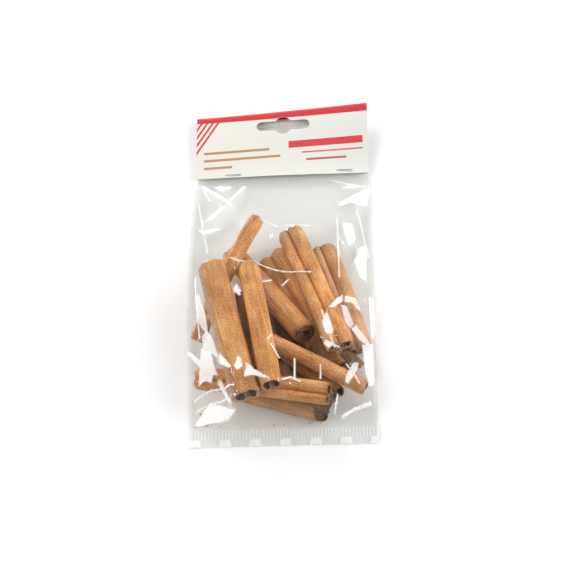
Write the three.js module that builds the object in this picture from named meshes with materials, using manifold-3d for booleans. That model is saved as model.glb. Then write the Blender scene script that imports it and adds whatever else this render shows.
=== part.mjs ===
// Clear film bag of cinnamon sticks lying on its back, closed by a folded, stapled header card.
// Millimetres. +X runs across the bag, +Y from the bottom seal up to the fold of the card,
// +Z up from the table. The bag and its sticks are one closed solid.
import * as THREE from 'three';
import { mergeVertices } from 'three/addons/utils/BufferGeometryUtils.js';
import Module from 'manifold-3d';

const wasm = await Module();
wasm.setup();

// ---- driving dimensions -------------------------------------------------------------------
const BAG_COLUMNS = 50;          // cells across the film's front
const ROW_STEP = 2.15;           // and along it
const SEAL_HEIGHT = 10;          // flat band along the bottom edge
const SEAL_THICK = 1.0;
const NECK_Y = 165.5;            // where the film goes flat between the card's leaves
const NECK_TOP = 184;            // end of the film, hidden in the card
const NECK_THICK = 0.8;          // flattened film between the leaves
const FILM_CLEARANCE = 0.6;      // film over the sticks
const FILM_CURVE = 0.4;          // 1/mm: how sharply the film dips between the sticks
const FILM_SOFTENING = 2;

const CARD_WIDTH = 103.2;
const CARD_THICK = 0.4;
const CARD_EDGE_Y = 166.2;       // lower edge of the front leaf
const BACK_EDGE_Y = 166.9;       // lower edge of the back leaf
const FOLD_Y = [207.2, 210.4];   // the fold runs slightly askew: left end, right end
const FOLD_Z = [3.0, 8.4];       // and the right corner stands up
const FOLD_RADIUS = 1.6;
const LEAF_FRONT_Z = 2.9;        // mid-height of each leaf at its lower edge
const LEAF_BACK_Z = 1.1;
const LEAF_SPREAD = 0.45;        // extra gap between the leaves at the hang slot
const EDGE_BULGE = 0.9;          // the front leaf's lower edge lifts in the middle

const SLOT = { x: 0.8, y: 198.9, width: 32, arm: 6, hole: 11, backShift: -2.0 };
const WIRE = 0.5;                // staple wire
const LEG_HOLE = 1.1;
const STAPLES = {
  staple_left: [[-33.6, 167.9], [-24.6, 167.8]],
  staple_right: [[32.7, 168.6], [41.6, 168.1]],
};

// Half outline of the film: height along the bag, left edge, right edge.
const OUTLINE = [
  [0, -52.0, 52.0], [16, -52.8, 52.5], [36, -53.5, 52.4], [57, -54.1, 52.3], [76, -55.1, 52.2],
  [88, -54.9, 52.2], [114, -54.9, 52.7], [134, -54.5, 52.6], [150, -53.1, 53.2],
  [160, -51.9, 52.6], [NECK_Y, -50.6, 50.8], [NECK_TOP, -50.4, 50.6],
];

// Each quill, and at the end each broken scrap: upper end, lower end, half width and half height
// of its rolled section.
const STICKS = [
  [[-28.7, 33.7, 5.9], [22.8, 13.8, 5.9], 7.4, 5.7],
  [[-20.8, 74.2, 4.7], [31.8, 26.4, 4.7], 4.9, 4.4],
  [[-10.2, 111.0, 4.0], [17.8, 54.0, 4.0], 4.7, 3.8],
  [[23.7, 117.6, 4.8], [43.8, 52.5, 4.8], 7.2, 4.5],
  [[-3.0, 116.3, 4.4], [33.2, 44.1, 4.4], 5.3, 4.2],
  [[-29.7, 115.2, 6.3], [14.6, 58.0, 16.3], 7.0, 6.2],
  [[-47.1, 35.7, 15.0], [26.9, 22.6, 19.6], 6.4, 4.4],
  [[-12.3, 129.3, 23.9], [-48.2, 60.8, 7.0], 4.4, 3.6],
  [[-11.7, 59.5, 14.8], [46.4, 27.7, 12.9], 4.4, 4.2],
  [[4.5, 127.3, 7.6], [32.8, 50.8, 16.6], 7.9, 5.0],
  [[-39.0, 101.1, 22.7], [-17.9, 19.6, 28.0], 8.2, 6.0],
  [[-18.1, 99.6, 21.5], [-4.1, 25.0, 28.5], 6.1, 5.9],
  [[-23.5, 88.0, 12.6], [-14.0, 41.0, 12.9], 3.5, 3.1],
  [[-9.2, 84.0, 3.2], [5.4, 57.5, 3.2], 4.3, 1.6],
  [[19.6, 57.5, 8.9], [27.6, 44.0, 8.9], 6.0, 1.4],
  [[-8.0, 48.4, 3.6], [10.0, 32.0, 3.6], 5.5, 2.2],
];

// ---- helpers ------------------------------------------------------------------------------
const lerp = THREE.MathUtils.lerp;
const smooth = (t) => THREE.MathUtils.smoothstep(t, 0, 1);

function along(table, y, column) {
  let k = 0;
  while (k < table.length - 2 && y > table[k + 1][0]) k += 1;
  const [a, b] = [table[k], table[k + 1]];
  return lerp(a[column], b[column], THREE.MathUtils.clamp((y - a[0]) / (b[0] - a[0]), 0, 1));
}

// A BufferGeometry from a list of points and a list of triangles.
function fromFaces(points, faces) {
  const geometry = new THREE.BufferGeometry();
  geometry.setAttribute('position', new THREE.Float32BufferAttribute(points.flat(), 3));
  geometry.setIndex(faces.flat());
  return geometry;
}

function toSolid(geometry) {
  const bare = geometry.clone();
  for (const name of Object.keys(bare.attributes)) if (name !== 'position') bare.deleteAttribute(name);
  const merged = mergeVertices(bare, 1e-4);
  return new wasm.Manifold(new wasm.Mesh({
    numProp: 3,
    vertProperties: new Float32Array(merged.attributes.position.array),
    triVerts: new Uint32Array(merged.index.array),
  }));
}

function toGeometry(solid) {
  const mesh = solid.getMesh();
  const geometry = new THREE.BufferGeometry();
  geometry.setAttribute('position', new THREE.BufferAttribute(new Float32Array(mesh.vertProperties), 3));
  geometry.setIndex(new THREE.BufferAttribute(new Uint32Array(mesh.triVerts), 1));
  geometry.computeVertexNormals();
  return geometry;
}

// Triangles between two rows of vertex numbers that share their first and last vertex or not.
function stitch(lower, upper, points, faces) {
  let [i, j] = [0, 0];
  const reach = (row, k) => points[row[k]][0];
  while (i < lower.length - 1 || j < upper.length - 1) {
    const stepLower = j === upper.length - 1
      || (i < lower.length - 1 && reach(lower, i + 1) <= reach(upper, j + 1));
    const face = stepLower ? [lower[i], lower[i + 1], upper[j]] : [lower[i], upper[j + 1], upper[j]];
    if (stepLower) i += 1; else j += 1;
    if (new Set(face).size === 3) faces.push(face);
  }
}

// ---- the bag ------------------------------------------------------------------------------
const rowsY = [0, 3.3, 6.7, SEAL_HEIGHT, 11.2];
for (let y = 13.3; y < 160; y += ROW_STEP) rowsY.push(y);
rowsY.push(161.5, 163.6, NECK_Y, 171, 177.5, NECK_TOP);

const RIM = [[0, 0.5], [SEAL_HEIGHT, 0.5], [16, 1.6], [24, 2.6], [150, 2.6], [NECK_Y, 2.0]];
const FLOOR = [[0, 0], [150, 0], [NECK_Y, 1.6]];

// Middle of the flat neck: half way between the card's leaves.
function neckMiddle(x, y) {
  const u = Math.max(0, (y - CARD_EDGE_Y) / (foldY(x) - FOLD_RADIUS - CARD_EDGE_Y));
  return (frontLeaf(x, u)[2] + backLeaf(x, u)[2]) / 2;
}

const rimHeight = (x, y) => (y >= NECK_Y ? neckMiddle(x, y) : along(RIM, y, 1));
const backHeight = (x, y) => (y >= NECK_Y ? neckMiddle(x, y) - NECK_THICK / 2 : along(FLOOR, y, 1));

// Highest stick surface over a point of the table.
function stickTop(x, y) {
  let top = -1;
  for (const [upper, lower, halfWidth, halfHeight] of STICKS) {
    const run = new THREE.Vector2(lower[0] - upper[0], lower[1] - upper[1]);
    const length = run.length();
    run.divideScalar(length);
    const [dx, dy] = [x - upper[0], y - upper[1]];
    const t = (dx * run.x + dy * run.y) / length;
    const off = (dx * run.y - dy * run.x) / (halfWidth + FILM_CLEARANCE);
    if (t < -0.01 || t > 1.01 || Math.abs(off) >= 1) continue;
    const height = halfHeight * Math.sqrt(1 - off * off);
    top = Math.max(top, lerp(upper[2], lower[2], THREE.MathUtils.clamp(t, 0, 1)) + height + FILM_CLEARANCE);
  }
  return top;
}

// The front film follows the sticks: it dips between them and falls to the side folds beside them.
function filmHeights(xs) {
  const last = rowsY.length - 1;
  const fixed = (j) => rowsY[j] <= SEAL_HEIGHT || rowsY[j] >= NECK_Y;
  const height = rowsY.map((y, j) => xs[j].map((x, i) => {
    if (i === 0 || i === BAG_COLUMNS) return rimHeight(x, y);
    if (y <= SEAL_HEIGHT) return SEAL_THICK;
    if (y >= NECK_Y) return neckMiddle(x, y) + NECK_THICK / 2;
    return Math.max(backHeight(x, y) + 1.5, stickTop(x, y));
  }));
  const rest = height.map((row) => row.slice());
  const sag = (FILM_CURVE * ROW_STEP * ROW_STEP) / 4;
  for (let sweep = 0; sweep < 900; sweep += 1) {
    for (let j = 1; j < last; j += 1) {
      if (fixed(j)) continue;
      for (let i = 1; i < BAG_COLUMNS; i += 1) {
        const mean = (height[j][i - 1] + height[j][i + 1] + height[j - 1][i] + height[j + 1][i]) / 4;
        const pulled = height[j][i] + 1.6 * (mean - sag - height[j][i]);
        height[j][i] = Math.max(rest[j][i], pulled);
      }
    }
  }
  // Thick film rounds over the sharp ends of the sticks.
  for (let pass = 0; pass < FILM_SOFTENING; pass += 1) {
    const before = height.map((row) => row.slice());
    for (let j = 1; j < last; j += 1) {
      if (fixed(j)) continue;
      for (let i = 1; i < BAG_COLUMNS; i += 1) {
        const mean = (before[j][i - 1] + before[j][i + 1] + before[j - 1][i] + before[j + 1][i]) / 4;
        height[j][i] = lerp(before[j][i], mean, 0.5);
      }
    }
  }
  return height;
}

function makeBag() {
  const xs = rowsY.map((y) => {
    const [left, right] = [along(OUTLINE, y, 1), along(OUTLINE, y, 2)];
    return Array.from({ length: BAG_COLUMNS + 1 }, (_, i) => lerp(left, right, i / BAG_COLUMNS));
  });
  const heights = filmHeights(xs);
  const points = [];
  const faces = [];
  const topRows = [];
  const backRows = [];
  rowsY.forEach((y, j) => {
    const row = xs[j];
    const top = row.map((x, i) => points.push([x, y, heights[j][i]]) - 1);
    const inset = y <= SEAL_HEIGHT || y >= NECK_Y ? 0.8 : 2.6;
    const [left, right] = [row[0], row[BAG_COLUMNS]];
    const back = [left + inset, left + inset + 12, -18, 0, 18, right - inset - 12, right - inset]
      .map((x) => points.push([x, y, backHeight(x, y)]) - 1);
    topRows.push(top);
    backRows.push([top[0], ...back, top[BAG_COLUMNS]]);
  });
  for (let j = 0; j < rowsY.length - 1; j += 1) {
    for (let i = 0; i < BAG_COLUMNS; i += 1) {
      const [a, b, c, d] = [topRows[j][i], topRows[j][i + 1], topRows[j + 1][i + 1], topRows[j + 1][i]];
      if ((i + j) % 2) faces.push([a, b, c], [a, c, d]); else faces.push([a, b, d], [b, c, d]);
    }
    for (let i = 0; i < backRows[j].length - 1; i += 1) {
      const [a, b, c, d] = [backRows[j][i], backRows[j][i + 1], backRows[j + 1][i + 1], backRows[j + 1][i]];
      faces.push([a, c, b], [a, d, c]);
    }
  }
  stitch(backRows[0], topRows[0], points, faces);
  const end = rowsY.length - 1;
  const cap = [];
  stitch(backRows[end], topRows[end], points, cap);
  faces.push(...cap.map(([a, b, c]) => [a, c, b]));
  return fromFaces(points, faces);
}

// ---- the header card ----------------------------------------------------------------------
const across = (x) => THREE.MathUtils.clamp(x / CARD_WIDTH + 0.5, 0, 1);
const foldY = (x) => lerp(FOLD_Y[0], FOLD_Y[1], across(x));
const foldZ = (x) => lerp(FOLD_Z[0], FOLD_Z[1], across(x) ** 1.5);
const spread = (u) => LEAF_SPREAD * Math.sin(Math.PI * smooth(u));
const lift = (x) => EDGE_BULGE * Math.cos((Math.PI * x) / CARD_WIDTH) ** 2;

function frontLeaf(x, u) {
  const rise = smooth(u * 0.75 + 0.25 * u * u);
  return [x, lerp(CARD_EDGE_Y, foldY(x) - FOLD_RADIUS, u),
    lerp(LEAF_FRONT_Z + lift(x) * (1 - u) ** 2, foldZ(x) + FOLD_RADIUS, rise) + spread(u)];
}

function backLeaf(x, u) {
  const rise = smooth(u * 0.75 + 0.25 * u * u);
  return [x, lerp(BACK_EDGE_Y, foldY(x) - FOLD_RADIUS, u),
    lerp(LEAF_BACK_Z, foldZ(x) - FOLD_RADIUS, rise) - spread(u) * 0.6];
}

function cardMiddle(x, s) {
  if (s <= 1) return frontLeaf(x, s);
  if (s >= 2) return backLeaf(x, 3 - s);
  const angle = (1.5 - s) * Math.PI;
  return [x, foldY(x) - FOLD_RADIUS + FOLD_RADIUS * Math.cos(angle),
    foldZ(x) + FOLD_RADIUS * Math.sin(angle)];
}

// A closed sheet of even thickness about a middle surface given on a grid of two parameters.
function sheet(us, vs, middle, thickness) {
  const points = [];
  const index = us.map(() => []);
  us.forEach((u, i) => vs.forEach((v, j) => {
    const e = 1e-3;
    const du = new THREE.Vector3(...middle(u + e, v)).sub(new THREE.Vector3(...middle(u - e, v)));
    const [v0, v1] = [Math.max(v - e, vs[0]), Math.min(v + e, vs[vs.length - 1])];
    const dv = new THREE.Vector3(...middle(u, v1)).sub(new THREE.Vector3(...middle(u, v0)));
    const normal = du.cross(dv).normalize().multiplyScalar(thickness / 2);
    const centre = new THREE.Vector3(...middle(u, v));
    points.push(centre.clone().add(normal).toArray(), centre.clone().sub(normal).toArray());
    index[i][j] = points.length - 2;
  }));
  const faces = [];
  const quad = (a, b, c, d) => faces.push([a, b, c], [a, c, d]);
  const [m, n] = [us.length - 1, vs.length - 1];
  for (let i = 0; i < m; i += 1) {
    for (let j = 0; j < n; j += 1) {
      const [a, b, c, d] = [index[i][j], index[i + 1][j], index[i + 1][j + 1], index[i][j + 1]];
      quad(a, b, c, d);
      quad(a + 1, d + 1, c + 1, b + 1);
    }
    const [p, q] = [[index[i][0], index[i + 1][0]], [index[i][n], index[i + 1][n]]];
    quad(p[0], p[0] + 1, p[1] + 1, p[1]);
    quad(q[1], q[1] + 1, q[0] + 1, q[0]);
  }
  for (let j = 0; j < n; j += 1) {
    const [p, q] = [[index[0][j], index[0][j + 1]], [index[m][j], index[m][j + 1]]];
    quad(p[1], p[1] + 1, p[0] + 1, p[0]);
    quad(q[0], q[0] + 1, q[1] + 1, q[1]);
  }
  return fromFaces(points, faces);
}

function slotCutters() {
  const half = SLOT.width / 2 - SLOT.arm / 2;
  const arms = new THREE.Shape();
  arms.moveTo(-half, -SLOT.arm / 2);
  arms.lineTo(half, -SLOT.arm / 2);
  arms.absarc(half, 0, SLOT.arm / 2, -Math.PI / 2, Math.PI / 2, false);
  arms.lineTo(-half, SLOT.arm / 2);
  arms.absarc(-half, 0, SLOT.arm / 2, Math.PI / 2, (3 * Math.PI) / 2, false);
  const depth = 12;
  const middle = foldZ(SLOT.x) + 0.2;
  return [[0, middle], [SLOT.backShift, middle - depth]].flatMap(([shift, z]) => {
    const bar = new THREE.ExtrudeGeometry(arms, { depth, bevelEnabled: false, curveSegments: 10 });
    const hole = new THREE.CylinderGeometry(SLOT.hole / 2, SLOT.hole / 2, depth, 36);
    hole.rotateX(Math.PI / 2).translate(0, 0, depth / 2);
    return [bar, hole].map((g) => toSolid(g.translate(SLOT.x, SLOT.y + shift, z)));
  });
}

const legCutters = Object.values(STAPLES).flat().map(([x, y]) =>
  toSolid(new THREE.BoxGeometry(LEG_HOLE, LEG_HOLE, 12).translate(x, y, 3)));

function makeCard() {
  const us = Array.from({ length: 21 }, (_, i) => (i / 20 - 0.5) * CARD_WIDTH);
  const vs = [
    ...Array.from({ length: 9 }, (_, k) => k / 9),
    ...Array.from({ length: 7 }, (_, k) => 1 + k / 6),
    ...Array.from({ length: 9 }, (_, k) => 2 + (k + 1) / 9),
  ];
  const card = toSolid(sheet(us, vs, cardMiddle, CARD_THICK));
  return toGeometry([...slotCutters(), ...legCutters].reduce((solid, cutter) => solid.subtract(cutter), card));
}

// ---- the staples --------------------------------------------------------------------------
function makeStaple([[x1, y1], [x2, y2]]) {
  const u = (y1 - CARD_EDGE_Y) / (foldY(x1) - FOLD_RADIUS - CARD_EDGE_Y);
  const high = Math.max(frontLeaf(x1, u)[2], frontLeaf(x2, u)[2]) + CARD_THICK / 2 + 0.35 + WIRE / 2;
  const low = WIRE / 2 + 0.05;
  const bend = 0.45;
  const at = (f, z) => new THREE.Vector3(lerp(x1, x2, f), lerp(y1, y2, f), z);
  const width = x2 - x1;
  const path = new THREE.CurvePath();
  const stops = [
    at(3.4 / width, low + 0.02), at(bend / width, low), at(0, low + bend), at(0, high - bend),
    at(bend / width, high), at(1 - bend / width, high), at(1, high - bend), at(1, low + bend),
    at(1 - bend / width, low), at(1 - 3.4 / width, low + 0.02),
  ];
  const corners = { 1: at(0, low), 3: at(0, high), 5: at(1, high), 7: at(1, low) };
  for (let k = 0; k < stops.length - 1; k += 1) {
    if (corners[k]) path.add(new THREE.QuadraticBezierCurve3(stops[k], corners[k], stops[k + 1]));
    else path.add(new THREE.LineCurve3(stops[k], stops[k + 1]));
  }
  const section = new THREE.Shape(Array.from({ length: 6 }, (_, k) => new THREE.Vector2(
    Math.cos((k * Math.PI) / 3), Math.sin((k * Math.PI) / 3)).multiplyScalar(WIRE / 2)));
  return new THREE.ExtrudeGeometry(section, { steps: 40, bevelEnabled: false, extrudePath: path });
}

// ---- assembly -----------------------------------------------------------------------------
const group = new THREE.Group();

function add(name, geometry, color, roughness, metalness) {
  const mesh = new THREE.Mesh(geometry, new THREE.MeshStandardMaterial({ color, roughness, metalness }));
  mesh.name = name;
  group.add(mesh);
}

const bag = toGeometry(legCutters.reduce((solid, cutter) => solid.subtract(cutter), toSolid(makeBag())));
add('bag', bag, 0xc08f5e, 0.35, 0);
add('header_card', makeCard(), 0xeaece2, 0.6, 0);
for (const [name, feet] of Object.entries(STAPLES)) add(name, makeStaple(feet), 0xb9bcc0, 0.3, 1);

// The origin is the middle of the bag's outline on the table.
const box = new THREE.Box3().setFromObject(group);
const centre = box.getCenter(new THREE.Vector3());
for (const mesh of group.children) mesh.position.set(-centre.x, -centre.y, -box.min.z);

export default group;
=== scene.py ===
"""A clear film bag of cinnamon sticks, lying on its back, with a folded and stapled header card."""
import math
from collections import namedtuple

import bpy
import numpy as np
from mathutils import Matrix, Vector, noise


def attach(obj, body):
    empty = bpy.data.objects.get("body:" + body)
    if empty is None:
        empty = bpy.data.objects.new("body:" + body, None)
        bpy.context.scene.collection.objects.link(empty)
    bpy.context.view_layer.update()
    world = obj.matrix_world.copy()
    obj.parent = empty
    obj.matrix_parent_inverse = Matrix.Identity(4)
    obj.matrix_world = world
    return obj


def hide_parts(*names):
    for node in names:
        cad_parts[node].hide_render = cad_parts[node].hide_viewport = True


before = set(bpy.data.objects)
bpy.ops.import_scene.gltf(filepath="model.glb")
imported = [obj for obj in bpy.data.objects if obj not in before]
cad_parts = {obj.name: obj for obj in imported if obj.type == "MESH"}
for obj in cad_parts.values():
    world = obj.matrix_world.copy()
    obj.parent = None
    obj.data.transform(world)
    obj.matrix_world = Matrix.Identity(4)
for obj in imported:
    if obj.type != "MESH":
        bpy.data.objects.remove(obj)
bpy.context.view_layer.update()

# The bag is laid out in millimetres from the middle of its bottom edge; this puts it in the frame.
ORIGIN_X, ORIGIN_Y = -0.959, 105.3
MM = 0.001


def placed(points):
    """Millimetres of the bag's own layout to metres of the frame."""
    out = np.array(points, dtype=float).reshape(-1, 3)
    out[:, 0] -= ORIGIN_X
    out[:, 1] -= ORIGIN_Y
    return out * MM


# ---- camera ----
CAMERA_AZIMUTH, CAMERA_ELEVATION, CAMERA_ROLL = 10.0, 66.0, -11.14
CAMERA_TARGET = (1.2, 96.5, 0.0)
CAMERA_DISTANCE = 800.0
CAMERA_LENS = 87.5


def set_camera():
    azimuth, elevation, roll = (math.radians(v) for v in (CAMERA_AZIMUTH, CAMERA_ELEVATION, CAMERA_ROLL))
    back = Vector((math.sin(azimuth) * math.cos(elevation), -math.cos(azimuth) * math.cos(elevation),
                   math.sin(elevation)))
    level = (-back).cross(Vector((0, 0, 1))).normalized()
    rise = level.cross(-back)
    right = math.cos(roll) * level + math.sin(roll) * rise
    up = -math.sin(roll) * level + math.cos(roll) * rise
    target = Vector(placed(CAMERA_TARGET)[0])
    data = bpy.data.cameras.new("camera")
    data.lens = CAMERA_LENS
    data.sensor_width = 36.0
    camera = bpy.data.objects.new("camera", data)
    bpy.context.scene.collection.objects.link(camera)
    turn = Matrix((right, up, back)).transposed().to_4x4()
    camera.matrix_world = Matrix.Translation(target + back * CAMERA_DISTANCE * MM) @ turn
    bpy.context.scene.camera = camera


# ---- making helpers ----
def start_clean():
    if bpy.context.mode != "OBJECT":
        bpy.ops.object.mode_set(mode="OBJECT")
    bpy.ops.object.select_all(action="DESELECT")


def take(piece):
    start_clean()
    piece.select_set(True)
    bpy.context.view_layer.objects.active = piece


def apply_modifier(piece, kind, **settings):
    take(piece)
    modifier = piece.modifiers.new(kind.lower(), kind)
    for key, value in settings.items():
        setattr(modifier, key, value)
    bpy.ops.object.modifier_apply(modifier=modifier.name)


def edit_mesh(piece, operation, **settings):
    """Runs one edit-mode operation over the whole mesh."""
    take(piece)
    bpy.ops.object.mode_set(mode="EDIT")
    bpy.ops.mesh.select_all(action="SELECT")
    operation(**settings)
    bpy.ops.object.mode_set(mode="OBJECT")


def points_of(piece):
    out = np.empty(len(piece.data.vertices) * 3)
    piece.data.vertices.foreach_get("co", out)
    return out.reshape(-1, 3)


def move_points(piece, points):
    piece.data.vertices.foreach_set("co", np.asarray(points, dtype=np.float32).ravel())
    piece.data.update()


def flat_sheet(name, columns, rows):
    """A unit grid and each vertex's place (0 to 1) across and along it."""
    start_clean()
    bpy.ops.mesh.primitive_grid_add(x_subdivisions=columns, y_subdivisions=rows, size=1.0)
    piece = bpy.context.active_object
    piece.name = name
    piece.data.name = name
    co = points_of(piece)
    return piece, co[:, 0] + 0.5, co[:, 1] + 0.5


def set_value(piece, name, values):
    """A number for each vertex, for the materials."""
    layer = piece.data.attributes.new(name, "FLOAT", "POINT")
    layer.data.foreach_set("value", np.asarray(values, dtype=np.float32))


def set_uv(piece, u, v):
    """Writes the sheet's UV map from two numbers for each vertex."""
    mesh = piece.data
    corner = np.empty(len(mesh.loops), dtype=np.int32)
    mesh.loops.foreach_get("vertex_index", corner)
    uv = np.stack([np.asarray(u)[corner], np.asarray(v)[corner]], axis=1).astype(np.float32)
    mesh.uv_layers.active.data.foreach_set("uv", uv.ravel())


def smooth_shading(piece, angle=40):
    take(piece)
    bpy.ops.object.shade_smooth_by_angle(angle=math.radians(angle))


def smooth_step(t):
    t = np.clip(t, 0, 1)
    return t * t * (3 - 2 * t)


def soft_noise(x, y, z=0.0):
    return noise.noise(Vector((x, y, z)))


def finish_piece(piece, material):
    if not piece.data.materials:
        piece.data.materials.append(material)
    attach(piece, "root")


# ---- materials ----
class Nodes:
    """Short hand for building one material's node tree."""

    def __init__(self, name):
        self.material = bpy.data.materials.new(name)
        self.material.use_nodes = True
        self.tree = self.material.node_tree
        self.tree.nodes.clear()
        self.out = self.tree.nodes.new("ShaderNodeOutputMaterial")

    def add(self, kind, inputs=None, **settings):
        node = self.tree.nodes.new("ShaderNode" + kind)
        for key, value in settings.items():
            setattr(node, key, value)
        for key, value in (inputs or {}).items():
            self.put(node.inputs[key], value)
        return node

    def put(self, socket, value):
        if isinstance(value, bpy.types.NodeSocket):
            self.tree.links.new(value, socket)
        elif isinstance(value, bpy.types.Node):
            self.tree.links.new(value.outputs[0], socket)
        else:
            socket.default_value = value

    def math(self, operation, a, b=0.0, clamp=False):
        return self.add("Math", {0: a, 1: b}, operation=operation, use_clamp=clamp).outputs[0]

    def mix(self, factor, a, b, blend="MIX"):
        node = self.add("Mix", data_type="RGBA", blend_type=blend)
        self.put(node.inputs["Factor"], factor)
        self.put(node.inputs[6], a)
        self.put(node.inputs[7], b)
        return node.outputs[2]

    def ramp(self, value, *stops):
        node = self.add("ValToRGB", {0: value})
        ramp = node.color_ramp
        while len(ramp.elements) < len(stops):
            ramp.elements.new(0.5)
        for element, (place, colour) in zip(ramp.elements, stops):
            element.position = place
            element.color = colour if len(colour) == 4 else (*colour, 1.0)
        return node.outputs[0]

    def attribute(self, name):
        return self.add("Attribute", attribute_name=name).outputs["Fac"]

    def noise(self, vector, scale, detail=4.0, roughness=0.55, distortion=0.0):
        return self.add("TexNoise", {"Vector": vector, "Scale": scale, "Detail": detail,
                                     "Roughness": roughness, "Distortion": distortion}).outputs["Fac"]

    def stretched(self, vector, scale):
        return self.add("Mapping", {"Vector": vector, "Scale": scale}).outputs[0]

    def finish(self, shader):
        self.put(self.out.inputs["Surface"], shader)
        return self.material


LICHEN_AND_SHADE_COLOUR = (0.30, 0.235, 0.180, 1.0)


def bark_material(name, deep, middle, pale, roughness):
    """Dry rolled bark: fine speckled grain, soft blotches, small pits, grey lichen where worn and as painted
    side shade.
    """
    n = Nodes(name)
    uv = n.add("UVMap").outputs[0]
    place = n.add("TexCoord").outputs["Object"]
    grain = n.noise(n.stretched(uv, (1.0, 0.75, 1.0)), 95.0, 5.0, 0.70)
    streak = n.noise(n.stretched(uv, (1.0, 0.14, 1.0)), 34.0, 3.0, 0.5, 0.6)
    blotch = n.noise(place, 75.0, 3.0, 0.5)
    tone = n.math("ADD", n.math("MULTIPLY", grain, 0.62), n.math("MULTIPLY", streak, 0.22))
    tone = n.math("ADD", tone, n.math("MULTIPLY", blotch, 0.26))
    colour = n.ramp(tone, (0.43, deep), (0.545, middle), (0.66, pale))
    pores = n.noise(n.stretched(uv, (1.0, 0.30, 1.0)), 70.0, 3.0, 0.55, 0.6)
    pit = n.add("MapRange", {0: pores, 1: 0.35, 2: 0.27}, clamp=True).outputs[0]
    colour = n.mix(n.math("MULTIPLY", pit, 0.65), colour, (*deep, 1.0))
    spread = n.noise(place, 300.0, 5.0, 0.68)
    patches = n.add("MapRange", {0: spread, 1: 0.42, 2: 0.54}, clamp=True).outputs[0]
    # The grey mask is lichen where the bark is worn, and painted shade down the sides of the quills.
    grey_wear_and_shade = n.math("MULTIPLY", n.attribute("wear_and_side_shade"), patches)
    colour = n.mix(n.math("MULTIPLY", grey_wear_and_shade, 0.85), colour, LICHEN_AND_SHADE_COLOUR)
    strength = n.math("SUBTRACT", 1.0, n.attribute("faded"))
    colour = n.add("HueSaturation", {"Saturation": strength, "Value": n.attribute("tone"),
                                     "Color": colour}).outputs[0]
    height = n.math("ADD", n.math("MULTIPLY", grain, 0.6), n.math("MULTIPLY", streak, 0.5))
    height = n.math("ADD", height, n.math("MULTIPLY", pit, -0.5))
    bump = n.add("Bump", {"Strength": 0.35, "Distance": 0.0005, "Height": height})
    rough = n.add("MapRange", {0: pores, 3: roughness - 0.08, 4: roughness + 0.10}).outputs[0]
    return n.finish(n.add("BsdfPrincipled", {"Base Color": colour, "Roughness": rough, "Normal": bump,
                                             "Specular IOR Level": 0.25}))


FRONT_FILM_TINT, BACK_FILM_TINT = (0.995, 0.995, 0.992, 1.0), (0.902, 0.903, 0.893, 1.0)
HAZE_COLOUR = (0.95, 0.965, 0.965, 1.0)
MIRROR_MOST = 0.15


def film_material():
    """Clear taut film: see-through, faint grey cast, crisp reflections; creases and facets whitened partly as
    painted highlight.
    """
    n = Nodes("clear_crinkled_film")
    place = n.add("TexCoord").outputs["Object"]
    crease, glare_and_haze, seal, back = (n.attribute(name) for name in ("crease", "glare_and_haze", "seal", "back"))
    fine = n.noise(place, 150.0, 3.0, 0.5, 0.8)
    bump = n.add("Bump", {"Strength": 0.05, "Distance": 0.0005, "Height": fine})
    clear = n.add("BsdfTransparent", {"Color": n.mix(back, FRONT_FILM_TINT, BACK_FILM_TINT)})
    gloss = n.add("BsdfAnisotropic", {"Color": (1, 1, 1, 1), "Roughness": 0.045, "Normal": bump})
    mirror = n.add("Fresnel", {"IOR": 1.31, "Normal": bump}).outputs[0]
    skin = n.add("MixShader", {0: n.math("MINIMUM", mirror, MIRROR_MOST), 1: clear, 2: gloss})
    haze = n.add("MixShader", {0: 0.15, 1: n.add("BsdfDiffuse", {"Color": HAZE_COLOUR}),
                               2: n.add("BsdfTranslucent", {"Color": HAZE_COLOUR})})
    speckle = n.noise(place, 500.0, 3.0, 0.6)
    cloud = n.add("MapRange", {0: speckle, 1: 0.3, 2: 0.7, 3: 0.88}, clamp=True).outputs[0]
    # Painted highlight: the white on the creases, the facets and the hazy side zones stands in partly for
    # glints and sheen; the seal's white is its own.
    milk_and_glare = n.math("ADD", crease, n.math("ADD", n.math("MULTIPLY", glare_and_haze, cloud), seal), clamp=True)
    return n.finish(n.add("MixShader", {0: milk_and_glare, 1: skin, 2: haze}))


# The card's UV map counts in units of this many millimetres, across it and away from its fold.
CARD_UV = 100.0
RED_INK = (0.60, 0.030, 0.035, 1.0)
BACK_BAND = -4.2
STRIPE_CORNER, STRIPE_SLOPE = 51.3, 1.53


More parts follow.
